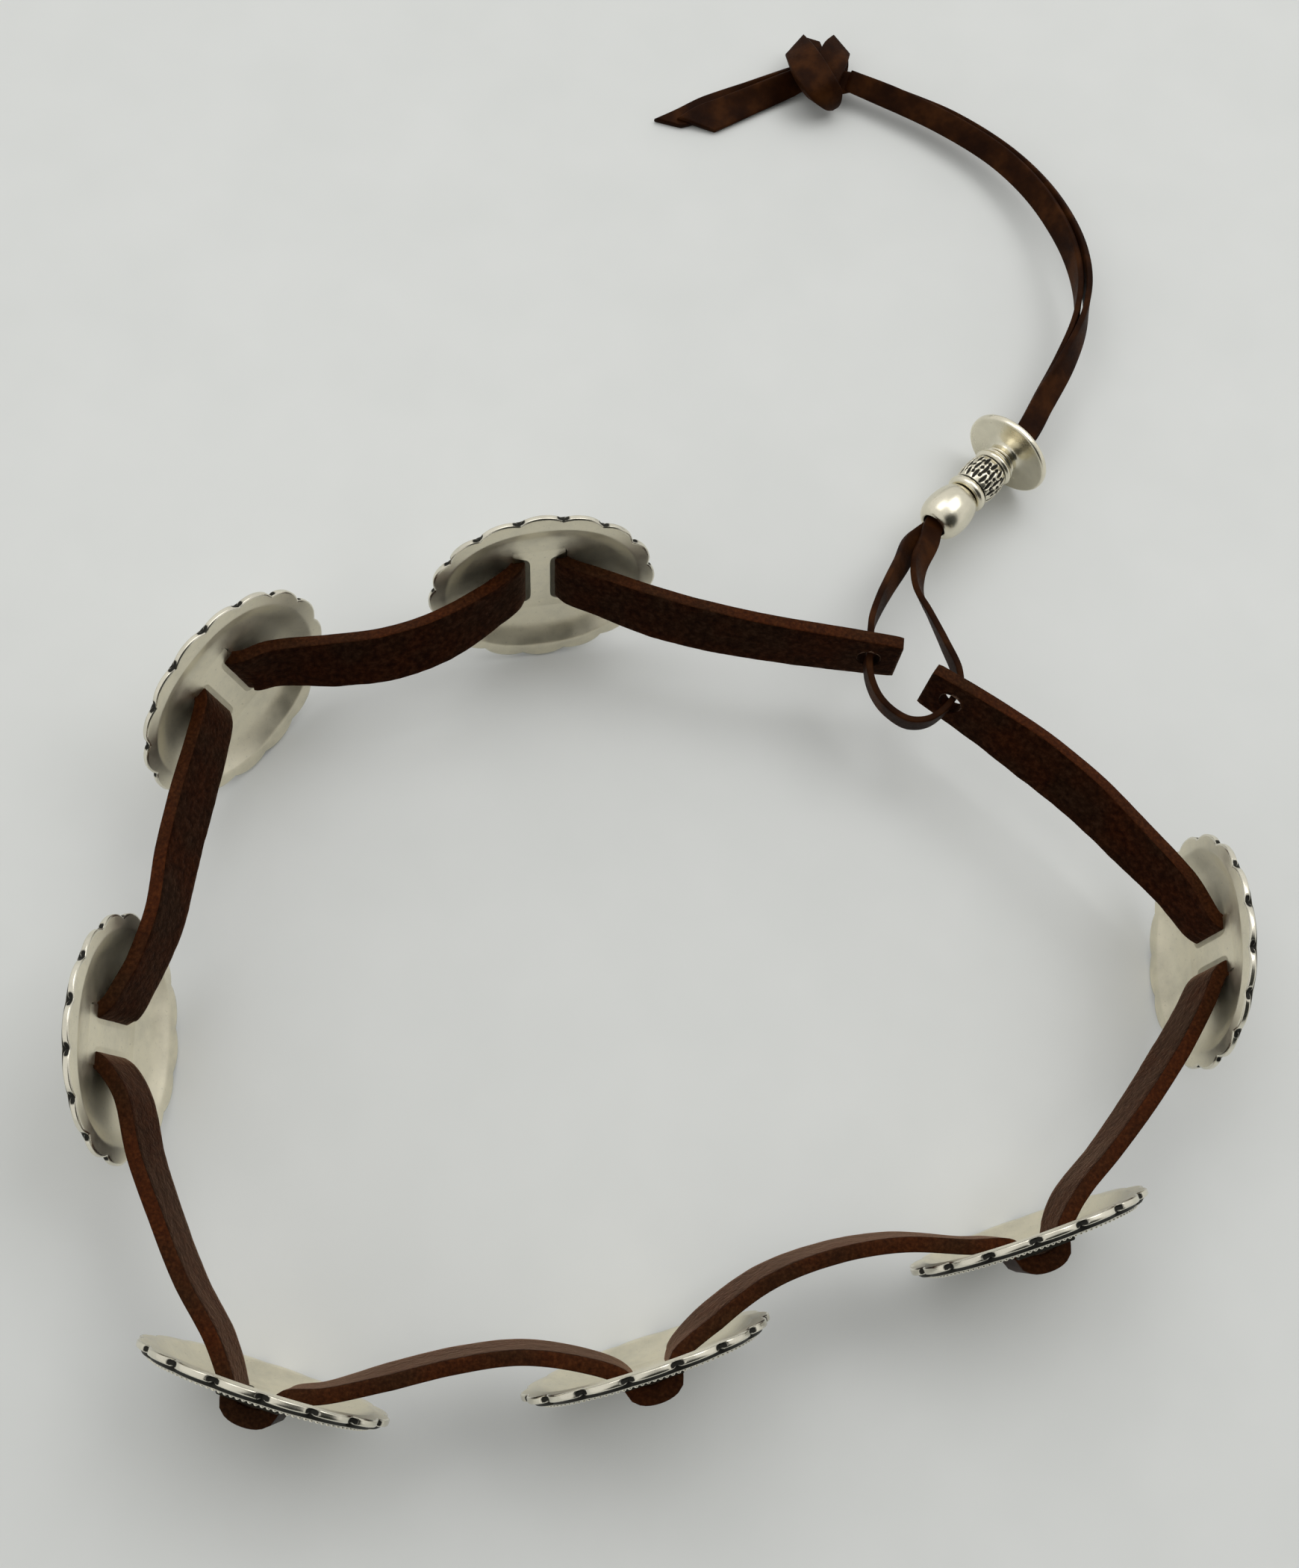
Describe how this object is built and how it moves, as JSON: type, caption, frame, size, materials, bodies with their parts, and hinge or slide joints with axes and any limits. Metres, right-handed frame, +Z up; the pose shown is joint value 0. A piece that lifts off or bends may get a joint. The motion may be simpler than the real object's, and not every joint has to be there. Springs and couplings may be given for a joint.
{
  "type": "concho belt",
  "caption": "Western belt of oval scalloped conchos threaded on a leather strap, closed by a lace with beads and a knot, standing on edge in an open loop.",
  "frame": {"origin": "centre of the belt's loop on the surface that the belt stands on, in the middle of the box round the conchos and the strap", "axes": "+Z up across the belt's width, +X along the loop's longer way, +Y from the loop towards the lace and its knot"},
  "size_m": [0.2813, 0.4315, 0.0554],
  "materials": {
    "silver": "satin antique silver, darkened in the stamped marks",
    "strap_leather": "dark brown strap leather, smooth outside, rough flesh side inside, redder cut edges",
    "lace_leather": "reddish brown oiled lace, satin"
  },
  "bodies": {
    "root": {"concho_1": "silver", "concho_2": "silver", "concho_3": "silver", "concho_4": "silver", "concho_5": "silver", "concho_6": "silver", "concho_7": "silver", "strap": "strap_leather", "lace_start": "lace_leather", "lace_end": "lace_leather", "lace_knot": "lace_leather", "bead_smooth": "silver", "bead_patterned": "silver", "bead_disc": "silver"}
  },
  "joints": []
}
